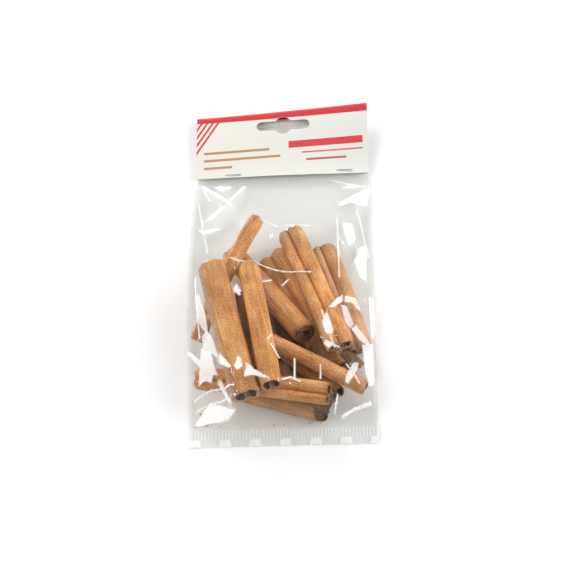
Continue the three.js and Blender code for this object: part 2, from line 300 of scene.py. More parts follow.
def card_material():
    """Coated card with flat fields of colour: a red band along the fold, a striped corner, plain bars."""
    n = Nodes("printed_card")
    xy = n.add("SeparateXYZ", {0: n.add("UVMap").outputs[0]})
    x = n.math("MULTIPLY", xy.outputs[0], CARD_UV)
    y = n.math("MULTIPLY", xy.outputs[1], CARD_UV)
    place = n.add("TexCoord").outputs["Object"]
    fibre = n.noise(place, 900.0, 4.0, 0.6)
    broad = n.noise(place, 28.0, 2.0, 0.5)
    # The cream turns greener and a little lighter towards the right; that lightening is painted light for the
    # raised, tilted right side of the card.
    cream = n.ramp(n.math("ADD", n.math("MULTIPLY", x, -0.0065), n.math("MULTIPLY", broad, 0.5)),
                   (0.0, (0.735, 0.745, 0.70)), (0.62, (0.755, 0.73, 0.66)))
    # y is the distance from the fold, positive on the front leaf and negative on the back one.
    band_edge = n.add("MapRange", {0: x, 1: -CARD_WIDTH / 2, 2: CARD_WIDTH / 2,
                                   3: FRONT_BAND[0], 4: FRONT_BAND[1]}).outputs[0]
    band = n.math("MULTIPLY", n.math("LESS_THAN", y, band_edge), n.math("GREATER_THAN", y, BACK_BAND))
    printed = n.mix(band, cream, RED_INK)
    # Slanting stripes in the upper left corner of the front leaf.
    slant = n.math("ADD", y, n.math("MULTIPLY", n.math("ADD", x, STRIPE_CORNER), STRIPE_SLOPE))
    stripes = 0.0
    for centre in STRIPES:
        one = n.math("LESS_THAN", n.math("ABSOLUTE", n.math("SUBTRACT", slant, centre)), STRIPE_HALF)
        stripes = n.math("MAXIMUM", stripes, one)
    stripes = n.math("MULTIPLY", stripes, n.math("GREATER_THAN", y, 0.0))
    printed = n.mix(stripes, printed, RED_INK)
    for left, right, middle, half, colour in CARD_BARS:
        off_middle = n.math("ABSOLUTE", n.math("SUBTRACT", x, (left + right) / 2))
        off_line = n.math("ABSOLUTE", n.math("SUBTRACT", y, middle))
        bar = n.math("MULTIPLY", n.math("LESS_THAN", off_middle, (right - left) / 2),
                     n.math("LESS_THAN", off_line, half))
        printed = n.mix(bar, printed, colour)
    grain = n.mix(0.05, printed, n.ramp(fibre, (0.3, (0.6, 0.6, 0.58)), (0.7, (1, 1, 1))), "MULTIPLY")
    bump = n.add("Bump", {"Strength": 0.06, "Distance": 0.0003, "Height": fibre})
    rough = n.add("MapRange", {0: fibre, 3: 0.34, 4: 0.46}).outputs[0]
    return n.finish(n.add("BsdfPrincipled", {"Base Color": grain, "Roughness": rough, "Normal": bump}))


def wire_material():
    n = Nodes("staple_wire")
    place = n.add("TexCoord").outputs["Object"]
    scuff = n.noise(place, 1400.0, 3.0, 0.6)
    colour = n.ramp(scuff, (0.3, (0.50, 0.50, 0.50)), (0.7, (0.74, 0.745, 0.75)))
    rough = n.add("MapRange", {0: scuff, 3: 0.22, 4: 0.42}).outputs[0]
    return n.finish(n.add("BsdfPrincipled", {"Base Color": colour, "Metallic": 1.0, "Roughness": rough}))


def floor_material():
    n = Nodes("pale_floor")
    return n.finish(n.add("BsdfPrincipled", {"Base Color": (0.97, 0.97, 0.97, 1), "Roughness": 0.9,
                                             "Specular IOR Level": 0.1}))


# ---- the sticks ----
# A quill lies from its upper to its lower end and measures wide and high to each side of its middle. Its kind
# says how the strip is rolled: down or up for two lobes with the seam below or on top, spiral, or scrap for a
# loose shard. curl is how many degrees its edges go round, seam the seam's place (-1 to 1), groove the seam's
# depth as a share of the full one, tilt the roll's turn, twist the turn from end to end, bow its bend in
# millimetres and slant how far the lower end's top is cut back. tone is how light its brown is, and its low
# values on the hidden fillers and the lowest sticks are painted shade; faded is how pale, wear the greyness
# and the raggedness of its ends, bark the strip's thickness, dark how much darker the lower end is painted,
# as painted shade, round how far the upper end's corners are cut back and ridge the place of a raised edge
# that runs along its top (0 for none), beyond which the bark is painted darker and greyer as shade.
Stick = namedtuple(
    "Stick", "upper lower wide high kind curl seam groove tilt twist bow slant"
    " tone faded wear bark dark round ridge",
    defaults=(0.0, 1.0, 0.0, 3.0, 0.0, 0.0, 1.0, 0.0, 0.2, 1.0, 0.15, 1.0, 0.0))
STICKS = {
    # stick_n and stick_l lie lowest, under the others; their low tone is painted shade.
    "stick_n": Stick((-29.5, 32.0, 5.3), (25.0, 15.4, 5.3), 5.0, 5.0, "spiral", 1000, tilt=40, slant=8.0,
                     tone=0.70, wear=0.5, dark=0.5),
    "stick_l": Stick((-20.8, 74.2, 4.7), (31.8, 26.4, 4.7), 4.9, 4.4, "down", 150, seam=0.1, slant=2.5,
                     tone=0.75, dark=0.5),
    "stick_f": Stick((-10.2, 111.0, 4.0), (17.8, 54.0, 4.0), 4.7, 3.8, "down", 160, tone=0.97, wear=0.3,
                     round=1.5),
    "stick_j": Stick((23.7, 117.6, 4.8), (43.8, 52.5, 4.8), 7.2, 4.5, "up", 300, seam=-0.28, bow=1.0,
                     tone=0.92, faded=0.09, wear=0.45, dark=0.3, round=2.5),
    "stick_g": Stick((-3.0, 116.3, 4.4), (33.2, 44.1, 4.4), 5.3, 4.2, "down", 160, tone=1.25, wear=0.6,
                     dark=0.5, round=2.0),
    "stick_e": Stick((-29.7, 115.2, 6.3), (14.6, 58.0, 16.3), 7.0, 6.2, "spiral", 1150, tilt=120, slant=3.5,
                     tone=0.88, dark=0.6, round=2.0),
    "stick_m": Stick((-47.1, 35.7, 15.0), (26.9, 22.6, 19.6), 6.4, 4.4, "up", 300, seam=-0.25, bow=0.4,
                     slant=0.6, tone=0.96, dark=0.4),
    "stick_c": Stick((-12.3, 129.3, 23.7), (-48.2, 60.8, 7.0), 4.4, 3.6, "up", 180, seam=0.15, groove=0.24,
                     bow=-2.0, tone=1.08, faded=0.06, wear=0.05, round=4.0),
    "stick_k": Stick((-11.7, 59.5, 14.8), (46.4, 27.7, 12.9), 4.4, 4.2, "down", 140, tilt=-15, bow=0.3,
                     tone=1.09, faded=0.05, wear=0.1),
    "stick_h": Stick((4.5, 127.3, 7.6), (32.8, 50.8, 16.6), 7.9, 5.0, "up", 300, seam=-0.1, twist=30, bow=0.4,
                     tone=1.16, wear=0.8, bark=1.2, round=2.0),
    "stick_a": Stick((-39.0, 101.1, 22.7), (-17.9, 19.6, 28.0), 8.2, 6.0, "down", 152, seam=0.12, twist=8,
                     bow=-0.4, slant=0.6, tone=0.97, wear=0.6, bark=1.6, dark=0.1, ridge=-0.45),
    "stick_b": Stick((-18.1, 99.6, 21.5), (-4.1, 25.0, 28.5), 6.1, 5.9, "down", 140, tilt=8, bow=0.2,
                     slant=0.8, tone=1.01, bark=1.3, dark=0.1, round=3.5),
    # stick_p, the bark chip and the bark scraps are fillers deep in the pile; their low tone is painted shade
    # for the gaps between the sticks.
    "stick_p": Stick((-23.5, 88.0, 12.6), (-14.0, 41.0, 12.9), 3.5, 3.1, "down", 150, tone=0.45),
    "bark_chip": Stick((-6.3, 50.3, 0.8), (11.7, 33.9, 0.8), 5.1, 0.6, "scrap", 75, tone=0.4),
    "bark_scrap_upper": Stick((-9.2, 84.0, 3.2), (5.4, 57.5, 3.2), 4.3, 1.6, "scrap", 75, bow=0.4, tone=0.5),
    "bark_scrap_middle": Stick((19.6, 57.5, 8.9), (27.6, 44.0, 8.9), 6.0, 1.4, "scrap", 75, bow=0.4,
                               tone=0.5),
    "bark_scrap_front": Stick((-2.0, 28.6, 9.6), (27.0, 18.0, 10.4), 4.2, 1.3, "scrap", 75, bow=0.4,
                              tone=0.24),
    "bark_scrap_end": Stick((33.5, 50.5, 7.0), (43.0, 41.5, 5.6), 5.0, 2.4, "scrap", 75, bow=0.4, tone=0.45,
                            wear=0.9),
    "bark_scrap_lower": Stick((-8.0, 48.4, 3.6), (10.0, 32.0, 3.6), 5.5, 2.2, "scrap", 75, bow=0.4, tone=0.6),
}
# The gap between a roll's layers, the faces round and along a strip, and the size of one unit of its UV map.
LAYER_GAP = 0.35
STICK_AROUND, STICK_ALONG = 150, 54
BARK_UV = 60.0


def even_strip(points, count):
    """The same line with its points evenly spread."""
    points = np.array(points)
    steps = np.r_[0, np.cumsum(np.hypot(*np.diff(points, axis=0).T))]
    at = np.linspace(0, steps[-1], count)
    return np.stack([np.interp(at, steps, points[:, k]) for k in (0, 1)], axis=1), steps[-1]


def double_roll(a, b, seam, groove, flat, curl, bark):
    """A wide back over two lobes: from its middle each edge goes round its lobe by the curl's angle."""
    step = bark + LAYER_GAP
    halves = []
    for side in (1, -1):
        edge = seam * a * side
        rx = (a - edge) / 2 - 0.12
        cx = a - rx
        line = []
        for k in range(31):
            t = math.radians(90 - 3 * k)
            out, up = math.cos(t) ** (0.8 if flat else 1.0), abs(math.sin(t)) ** (0.62 if flat else 1.0)
            line.append((a * out, b * up))
        inner_x = min(rx, max(0.7, rx - step))
        for phi in range(5, int(curl) + 1, 5):
            turn = float(smooth_step((phi - 150) / 120))
            rz = b + (max(0.8, b * 0.84 - step) - b) * turn
            rr = rx + (inner_x - rx) * min(1, max(0, (phi - 200) / 120))
            t = -math.radians(phi)
            x, z = cx + max(0.5, rr) * math.cos(t), max(0.6, rz) * math.sin(t)
            full = -b * math.sqrt(max(0.0, 1 - (x / a) ** 2))
            line.append((x, z + (full - z) * (1 - groove) * min(1.0, max(0.0, (phi - 90) / 60))))
        halves.append([(side * px, pz) for px, pz in line])
    return halves[1][::-1] + halves[0][1:]


def spiral_roll(a, b, curl, bark):
    """One edge rolled inside the other, with an open middle."""
    line = []
    for t in range(0, int(curl), 4):
        shrink = (bark + LAYER_GAP) * t / 360.0
        line.append(((a - shrink) * math.cos(math.radians(t)), (b - shrink) * math.sin(math.radians(t))))
    return line


def rolled_section(stick):
    """The middle line of the rolled strip, seen from its end, just inside the quill's width and height."""
    a, b = stick.wide - stick.bark / 2, stick.high - stick.bark / 2
    if stick.kind == "spiral":
        line = spiral_roll(a, b, stick.curl, stick.bark)
    elif stick.kind == "scrap":
        line = [(a * math.sin(math.radians(t)), b * math.cos(math.radians(t)))
                for t in range(-stick.curl, stick.curl + 1, 5)]
    else:
        line = double_roll(a, b, stick.seam, stick.groove, stick.kind == "up", stick.curl, stick.bark)
    line = np.array(line) * ((1, -1) if stick.kind == "up" else (1, 1))
    turn = math.radians(stick.tilt)
    line = line @ np.array(((math.cos(turn), math.sin(turn)), (-math.sin(turn), math.cos(turn))))
    if (line[:, 0] * np.roll(line[:, 1], -1) - line[:, 1] * np.roll(line[:, 0], -1)).sum() < 0:
        line = line[::-1]
    low, high = line.min(axis=0), line.max(axis=0)
    return (line - (low + high) / 2) * (2 * a, 2 * b) / (high - low)


def ragged_edge(seed, end):
    """How far the torn end of a strip wanders at each point round it."""
    return np.array([0.9 * soft_noise(k * 0.09, seed * 3.1 + end * 9.7)
                     + 0.5 * soft_noise(k * 0.37, seed + end * 5.3, 4.0) for k in range(STICK_AROUND + 1)])


def roll_stick(name, seed, outer, inner, cut):
    stick = STICKS[name]
    section, girth = even_strip(rolled_section(stick), STICK_AROUND + 1)
    piece, u, v = flat_sheet(name, STICK_AROUND, STICK_ALONG)
    column = np.rint(u * STICK_AROUND).astype(int)
    rng = np.random.default_rng(seed)
    upper, lower = Vector(stick.upper), Vector(stick.lower)
    length = (lower - upper).length
    axis = (lower - upper).normalized()
    side = Vector((0, 0, 1)).cross(axis).normalized()
    rise = axis.cross(side)
    from_top, from_foot = v * length, (1 - v) * length
    sx, sz = section[column, 0], section[column, 1]

    # Both ends are torn, the upper one's corners are rounded and the lower one is cut aslant.
    tear = 0.4 + 0.9 * stick.wear
    at_top, at_foot = np.clip(1 - v * 6, 0, 1), np.clip(1 - (1 - v) * 6, 0, 1)
    corner = 1 - np.sqrt(np.clip(1 - (sx / stick.wide) ** 2, 0.02, 1))
    top_cut = (ragged_edge(seed, 0)[column] + 0.35) * tear + stick.round * corner
    foot_cut = (ragged_edge(seed, 1)[column] + 0.35) * tear + stick.slant * (sz / stick.high + 1) / 2
    run = v * length + top_cut * at_top
    run = run - foot_cut * at_foot

    # The section swells and ripples along the quill and narrows a little at both ends.
    swell = np.array([soft_noise(t * 2.3, seed * 1.7, 0.5) for t in v])
    ripple = np.array([soft_noise(s * 7.0, t * 3.2, seed * 2.3)
                       + 0.5 * soft_noise(s * 22.0, t * 5.0, seed * 0.7) for s, t in zip(u, v)])
    reach = np.hypot(sx, sz) + 1e-6
    grow = 0.985 + 0.03 * swell + (0.16 + 0.14 * stick.wear) * ripple / reach
    grow = grow - 0.10 * np.exp(-from_top / 1.2) - 0.06 * np.exp(-from_foot / 1.2)
    beyond = np.zeros(len(u))
    if stick.ridge:
        wander = 0.30 * (v - 0.35) + 0.10 * np.array([soft_noise(t * 4.0, seed * 2.9) for t in v])
        beyond = smooth_step((stick.ridge + wander - sx / stick.wide) / 0.10) * (sz > 0)
        grow = grow - 0.75 * beyond / reach * np.clip(1.6 - 0.8 * v, 0, 1)
    # Painted shade: the left side of each quill takes more of the lichen grey, as if it fell away from the
    # light.
    grey_and_shaded_side = np.clip(-sx / stick.wide - 0.55, 0, 1) * (1.0 + 1.5 * stick.wear)
    turn = np.radians(stick.twist) * (v - 0.5) * (1 if seed % 2 else -1)
    c, s = np.cos(turn), np.sin(turn)
    sx, sz = (sx * c - sz * s) * grow, (sx * s + sz * c) * grow
    bend = stick.bow * 4 * v * (1 - v)
    points = (np.outer(np.ones(len(u)), upper) + np.outer(run, axis) + np.outer(sx + bend, side)
              + np.outer(sz, rise))
    move_points(piece, placed(points))
    set_uv(piece, u * girth / BARK_UV + rng.uniform(0, 5), run / BARK_UV + rng.uniform(0, 5))

    # The grey value set here holds lichen grey from real wear near the ends, and the same grey as painted
    # shade down the left side and beyond the ridge.
    ends = (0.4 if stick.ridge else 1.0) * np.exp(-from_top / 12.0) + 0.45 * np.exp(-from_foot / 8.0)
    # Painted shade: the tone darkens towards the lower end by the dark number, and a little beyond the ridge.
    set_value(piece, "tone", stick.tone * (1 - stick.dark * np.exp(-from_foot / 2.5)) * (1 - 0.15 * beyond))
    set_value(piece, "faded", np.full(len(u), stick.faded))
    set_value(piece, "wear_and_side_shade", np.clip(stick.wear * (ends + 0.7 * grey_and_shaded_side + 0.25) + 0.45 * beyond, 0, 1))
    for material in (outer, inner, cut):
        piece.data.materials.append(material)
    apply_modifier(piece, "SOLIDIFY", thickness=stick.bark * MM, offset=0.0, material_offset=1,
                   material_offset_rim=2)
    smooth_shading(piece, 45)
    return piece


# ---- the film bag ----
SEAL_HEIGHT = 10.0
NECK_Y, NECK_TOP = 165.5, 184.0
# How far up the bag, and its left and its right side there.
OUTLINE = np.array((
    (0, -52.0, 52.0), (16, -52.8, 52.5), (36, -53.5, 52.4), (57, -54.1, 52.3), (76, -55.1, 52.2),
    (88, -54.9, 52.2), (114, -54.9, 52.7), (134, -54.5, 52.6), (150, -53.1, 53.2),
    (160, -51.9, 52.6), (165.5, -50.6, 50.8), (184, -50.4, 50.6)))
# How far up the bag, and how high its side folds lie over the table there.
RIM = np.array(((0, 0.35), (10, 0.35), (16, 1.4), (24, 2.4), (150, 2.4), (165.5, 2.0), (184, 2.0)))
FILM_ROOM, FILM_TOUCH = 0.3, 0.08
FILM_CURVE = 0.2
FILM_CELL = 0.5
FILM_COLUMNS, FILM_ROWS, BACK_STEP = 196, 350, 4
# The rows are close in the seal and wider above it; the columns are close at both sides.
ROW_SHARES, ROW_PLACES = (0, 0.055, 0.10, 0.90, 1.0), (0.0, SEAL_HEIGHT, 18.0, 163.0, NECK_TOP)
SIDE_CROWDING = 0.45
# Each pass over a coarser or finer grid: its step in cells, and how many times the film settles.
HANG_PASSES = ((4, 500), (2, 300), (1, 160))
FACET_SWEEPS = 260
# The table of stick heights: its cell, its left and low sides, and its size in cells.
TOPS_CELL, TOPS_LEFT, TOPS_LOW, TOPS_SHAPE = 0.5, -70.0, -15.0, (480, 280)

CARD_WIDTH = 103.2
CARD_THICK = 0.4
CARD_COLUMNS, CARD_ROWS = 96, 100
CARD_EDGE_Y, BACK_EDGE_Y = 166.2, 166.9
FOLD_Y, FOLD_Z, FOLD_RADIUS = (207.2, 210.4), (3.0, 8.4), 1.6
LEAF_FRONT_Z, LEAF_BACK_Z, LEAF_SPREAD, EDGE_BULGE = 2.9, 1.1, 0.45, 0.9
SLOT_X, SLOT_Y, SLOT_WIDTH, SLOT_ARM, SLOT_HOLE, SLOT_BACK_SHIFT = 0.8, 198.9, 32.0, 6.0, 11.0, -2.0
CUTTER_DEPTH = 12.0
FRONT_BAND = (4.3, 5.8)
STRIPE_HALF = 1.15
STRIPES = (8.1, 13.5, 18.7, 23.9)
# Each bar's left and right end, its distance from the fold, half its width and its ink.
TAN_INK = (0.50, 0.25, 0.12, 1.0)
CARD_BARS = (
    (-47.0, -7.5, 24.8, 0.8, TAN_INK),
    (-47.0, -1.0, 29.6, 0.8, TAN_INK),
    (-47.0, -30.0, 34.6, 0.8, TAN_INK),
    (4.0, 48.5, 22.8, 2.2, (0.66, 0.06, 0.07, 1.0)),
    (12.0, 48.5, 28.3, 0.5, (0.62, 0.16, 0.14, 1.0)),
    (14.5, 38.5, 33.0, 0.7, (0.50, 0.12, 0.12, 1.0)),
)
STAPLES = {"staple_wire_left": ((-33.6, 167.9), (-24.6, 167.8)),
           "staple_wire_right": ((32.7, 168.6), (41.6, 168.1))}
STAPLE_LEG, STAPLE_LOW, STAPLE_LIFT, STAPLE_BEND, WIRE_RADIUS = 3.4, 0.34, 0.28, 0.5, 0.27


def across(x):
    return np.clip(np.asarray(x) / CARD_WIDTH + 0.5, 0, 1)


def fold_y(x):
    return FOLD_Y[0] + (FOLD_Y[1] - FOLD_Y[0]) * across(x)


def fold_z(x):
    return FOLD_Z[0] + (FOLD_Z[1] - FOLD_Z[0]) * across(x) ** 1.5


def leaf_heights(x, y):
    """Middle heights of the front and the back leaf of the card over a point of the table."""
    u = np.clip((y - CARD_EDGE_Y) / (fold_y(x) - FOLD_RADIUS - CARD_EDGE_Y), 0, 1)
    rise = smooth_step(u * 0.75 + 0.25 * u * u)
    spread = LEAF_SPREAD * np.sin(np.pi * smooth_step(u))
    low = LEAF_FRONT_Z + EDGE_BULGE * np.cos(np.pi * x / CARD_WIDTH) ** 2 * (1 - u) ** 2
    front = low + (fold_z(x) + FOLD_RADIUS - low) * rise + spread
    back = LEAF_BACK_Z + (fold_z(x) - FOLD_RADIUS - LEAF_BACK_Z) * rise - spread * 0.6
    return front, back


def tops_of(pieces, x, y):
    """Highest stick surface over points of the table, with a little room round it; -1 where there is none."""
    raster = np.full(TOPS_SHAPE, -1.0)
    for piece in pieces:
        co = points_of(piece) / MM + (ORIGIN_X, ORIGIN_Y, 0.0)
        at = np.rint((co[:, :2] - (TOPS_LEFT, TOPS_LOW)) / TOPS_CELL).astype(int)
        np.maximum.at(raster, (at[:, 1], at[:, 0]), co[:, 2])
    for _ in range(2):
        shifted = [np.roll(raster, shift, axis=k) for k in (0, 1) for shift in (-1, 0, 1)]
        raster = np.maximum.reduce(shifted)
    row, column = np.rint((y - TOPS_LOW) / TOPS_CELL), np.rint((x - TOPS_LEFT) / TOPS_CELL)
    return raster[row.astype(int), column.astype(int)]


def resample(values, shape):
    """A table of heights on a finer or coarser grid."""
    rows = np.linspace(0, values.shape[0] - 1, shape[0])
    cols = np.linspace(0, values.shape[1] - 1, shape[1])
    low = np.stack([np.interp(cols, np.arange(values.shape[1]), row) for row in values])
    return np.stack([np.interp(rows, np.arange(values.shape[0]), low[:, k]) for k in range(shape[1])], axis=1)


def blur(values, passes):
    values = values.copy()
    for _ in range(passes):
        inner = (values[1:-1, :-2] + values[1:-1, 2:] + values[:-2, 1:-1] + values[2:, 1:-1]) / 4
        values[1:-1, 1:-1] = 0.5 * values[1:-1, 1:-1] + 0.5 * inner
    return values


def pull_tight(skin, rest, held, sweeps, cell):
    """Lets the film settle over its resting heights, dipping between them by its own curve."""
    sag = FILM_CURVE * cell * cell / 4
    for _ in range(sweeps):
        mean = skin.copy()
        mean[1:-1, 1:-1] = (skin[1:-1, :-2] + skin[1:-1, 2:] + skin[:-2, 1:-1] + skin[2:, 1:-1]) / 4 - sag
        skin = np.where(held, rest, np.maximum(rest, mean))
    return skin


def hang_film(rest, held):
    """Stretches a skin over the resting heights, with the held points kept."""
    skin = None
    for step, sweeps in HANG_PASSES:
        shape = ((rest.shape[0] - 1) // step + 1, (rest.shape[1] - 1) // step + 1)
        low = rest if step == 1 else resample(rest, shape)
        kept = held if step == 1 else resample(held.astype(float), shape) > 0.5
        skin = low.copy() if skin is None else np.where(kept, low, np.maximum(low, resample(skin, shape)))
        skin = pull_tight(skin, low, kept, sweeps, FILM_CELL * step)
    return skin


def crumples(x, y, spacing, depth, seed, stretch=(1.0, 1.0), turn=0.0):
    """Flat tilted facets with straight creases, like crumpled film: the difference of two lifted fans."""
    rng = np.random.default_rng(seed)
    c, s = math.cos(turn), math.sin(turn)
    px, py = (c * x + s * y) / stretch[0], (-s * x + c * y) / stretch[1]
    lift = 4.0 * depth / spacing ** 2
    out = np.zeros(x.shape)
    for sign in (1, -1):
        gx, gy = np.meshgrid(np.arange(px.min() - spacing, px.max() + 2 * spacing, spacing),
                             np.arange(py.min() - spacing, py.max() + 2 * spacing, spacing))
        sx = (gx + rng.uniform(-0.5, 0.5, gx.shape) * spacing).ravel()
        sy = (gy + rng.uniform(-0.5, 0.5, gx.shape) * spacing).ravel()
        own = rng.uniform(-0.25, 0.25, sx.shape) * depth
        best = np.full(x.shape, -1e9)
        for k in range(len(sx)):
            best = np.maximum(best, lift * (2 * (sx[k] * px + sy[k] * py) - sx[k] ** 2 - sy[k] ** 2) + own[k])
        out += sign * best
    return out


# Taut flat facets of the front film: the softbox that each one mirrors, then its corners in plan.
FACETS = (
    ("key", (-24, 88), (-26, 83), (-22, 78), (-21, 79)),
    ("left", (-48, 85), (-46, 84), (-42, 72), (-41, 61), (-45, 66), (-48, 75)),
    ("left", (-41, 61), (-38, 58), (-34, 47), (-34, 39), (-36, 46), (-43, 50), (-44, 59)),
    ("key", (-33, 46), (-25, 35), (-27, 34), (-33, 38)),
    ("left", (-43, 49), (-37, 45), (-35, 37), (-33, 32), (-36, 33), (-37, 29), (-41, 31), (-45, 29),
     (-44, 41)),
    ("left", (-52, 52), (-44, 44), (-45, 41), (-52, 49)),
    ("left", (-35, 31), (-28, 18), (-26, 17), (-32, 31)),
    ("key", (-22, 42), (-20, 39), (-19, 34), (-22, 32), (-24, 35), (-23, 38)),
    ("key", (-17, 38), (-18, 36), (-18, 28), (-14, 29), (-9, 27), (-4, 26), (-9, 30), (-13, 33)),
    ("left", (-40, 23), (-50, 12), (-29, 11), (-24, 16), (-29, 18)),
    ("key", (26, 72), (28, 65), (30, 57), (28, 55), (25, 57), (23, 64)),
    ("key", (25, 54), (33, 48), (32, 47), (29, 49), (27, 47), (24, 51)),
    ("key", (27, 74), (31, 79), (35, 82), (35, 77), (30, 73)),
    ("right", (36, 82), (42, 82), (44, 78), (45, 75), (42, 76), (40, 79), (36, 78)),
    ("right", (34, 74), (37, 74), (41, 65), (39, 62), (36, 65)),
    ("right", (39, 61), (42, 64), (48, 57), (50, 54), (47, 54), (43, 56)),
    ("key", (40, 42), (43, 41), (42, 36), (37, 28), (35, 29), (36, 34)),
    ("right", (45, 49), (51, 51), (51, 29), (48, 27), (46, 37)),
    ("right", (49, 83), (52, 84), (52, 60), (50, 61)),
    ("key", (35, 135), (41, 133), (43, 120), (39, 116), (37, 123)),
    ("key", (43, 119), (49, 118), (48, 92), (45, 95), (42, 106)),
    ("key", (-50, 162), (-46, 161), (-36, 153), (-27, 143), (-26, 141), (-38, 151)),
    ("key", (-41, 161), (-31, 160), (-30, 158), (-36, 157)),
    ("key", (-23, 161), (-21, 160), (-41, 137), (-46, 135), (-43, 139)),
    ("key", (-50, 133), (-38, 134), (-36, 132), (-46, 129)),
    ("key", (33, 157), (41, 158), (49, 155), (41, 156)),
    ("key", (52, 157), (41, 152), (32, 147), (34, 145), (41, 147), (46, 143), (50, 142), (51, 149)),
    ("right", (49, 24), (50, 22), (39, 16), (33, 11), (32, 12), (39, 18)),
)

# Thin bright creases of the front film: the points that each runs through.
CREASES = (
    ((-28, 105), (-19, 101), (6, 98), (17, 97)), ((-9, 88), (-5, 91)), ((1, 89), (4, 93)),
    ((-6, 51), (-4, 54)), ((-4, 48), (0, 41)), ((2, 28), (6, 31), (11, 29)), ((8, 43), (8, 30)),
    ((22, 40), (22, 31)),
    ((-49, 25), (-38, 27), (-24, 25)), ((-48, 20), (-38, 22), (-26, 20)), ((28, 10), (31, 23)),
    ((-50, 150), (-44, 118)), ((32, 138), (33, 96)), ((44, 143), (50, 110)), ((-50, 100), (-46, 60)),
    ((34, 14), (51, 25)), ((30, 162), (50, 156)), ((-14, 130), (-2, 128)), ((2, 131), (16, 133)),
    ((23, 72), (30, 48)), ((36, 41), (43, 29)),
)
CREASE_WIDTH, CREASE_RISE = 0.8, 0.45
# How white the taut facets are painted: a painted highlight over the softbox that each one mirrors.
FACET_PAINTED_GLARE = 0.55
# Crumples are strong down both sides and in the upper corners, calm over the sticks and in the middle: how
# strong, and the middle and the reach of each place, across and up.
CRUMPLE_CALM = 0.04
CRUMPLE_PLACES = ((1.0, -48, 70, 7, 55), (1.3, 46, 95, 9, 60), (0.5, -42, 145, 12, 20),
                  (0.6, 42, 150, 14, 16), (0.3, 0, 15, 55, 6), (0.8, 45, 35, 8, 22))
# Hazier film down both sides, whitened partly as painted sheen.
HAZE_AND_SHEEN_PLACES = ((0.10, 49, 70, 7, 75), (0.06, -49, 60, 5, 60))
RIB_STEP, RIB_HEIGHT = 1.9, 0.07
WINDOW_STEP, WINDOW_HALF, WINDOW_HEIGHT, WINDOW_MIDDLE = 16.7, 5.2, 4.6, -40.5


def pinch_creases(x, y):
    out = np.zeros(x.shape)
    for points in CREASES:
        for (x0, y0), (x1, y1) in zip(points, points[1:]):
            dx, dy = x1 - x0, y1 - y0
            size = math.hypot(dx, dy)
            along = ((x - x0) * dx + (y - y0) * dy) / size
            beyond = np.maximum(np.maximum(-along, along - size), 0)
            off = np.hypot(((x - x0) * dy - (y - y0) * dx) / size, beyond)
            out = np.maximum(out, CREASE_RISE * np.clip(1 - off / CREASE_WIDTH, 0, 1))
    return out


def seal_milk(x, y):
    """The welded band: fine upright ribs, and clear windows along its foot with white between them."""
    ribs = 0.50 + 0.18 * np.sin(x * 2 * np.pi / RIB_STEP)
    aside = np.abs((x - WINDOW_MIDDLE + WINDOW_STEP / 2) % WINDOW_STEP - WINDOW_STEP / 2)
    window = smooth_step((WINDOW_HALF + 0.2 * y - aside) / 0.8)
    foot = smooth_step((WINDOW_HEIGHT - y) / 0.8)
    return (ribs * (1 - foot) + (0.95 - 0.50 * window) * foot) * smooth_step((SEAL_HEIGHT + 0.5 - y) / 1.0)


def spots(x, y, base, places):
    """A soft hill at each place, over an even base."""
    out = np.full(x.shape, base)
    for strong, cx, cy, rx, ry in places:
        out = out + strong * np.exp(-((x - cx) / rx) ** 2 - ((y - cy) / ry) ** 2)
    return out


def inside_outline(x, y, corners):
    inside = np.zeros(x.shape, dtype=bool)
    for (x0, y0), (x1, y1) in zip(corners, corners[1:] + corners[:1]):
        crosses = (y0 > y) != (y1 > y)
        inside ^= crosses & (x < x0 + (y - y0) * (x1 - x0) / ((y1 - y0) or 1e-9))
    return inside


def mirror_slope(place, light):
    """How a film facet there rises across and along when it throws that softbox to the camera."""
    here = Vector(placed(place)[0])
    direction, distance = SOFTBOXES[light + "_softbox"][:2]
    to_light = (Vector(direction).normalized() * distance - here).normalized()
    to_camera = (bpy.context.scene.camera.matrix_world.translation - here).normalized()
    normal = (to_light + to_camera).normalized()
    return -normal.x / normal.z, -normal.y / normal.z


def add_facets(x, y, skin, rest, held):
    """Sets the taut facets into the hung film and pulls the rest of it tight round them."""
    skin, rest, held = skin.copy(), rest.copy(), held.copy()
    flat = np.zeros(x.shape, dtype=bool)
    for light, *corners in FACETS:
        inside = inside_outline(x, y, corners) & ~held
        if not inside.any():
            continue
        cx, cy = np.mean(corners, axis=0)
        rise_x, rise_y = mirror_slope((cx, cy, float(skin[inside].mean())), light)
        plane = rise_x * (x - cx) + rise_y * (y - cy)
        level = max((rest - plane)[inside].max() + 0.05, (skin - plane)[inside].mean())
        rest[inside] = (plane + level)[inside]
        held |= inside
        flat |= inside
    skin = np.where(flat, rest, skin)
    return pull_tight(skin, rest, held, FACET_SWEEPS, FILM_CELL), flat


Plan = namedtuple("Plan", "x y left right neck floor rim edge held free")


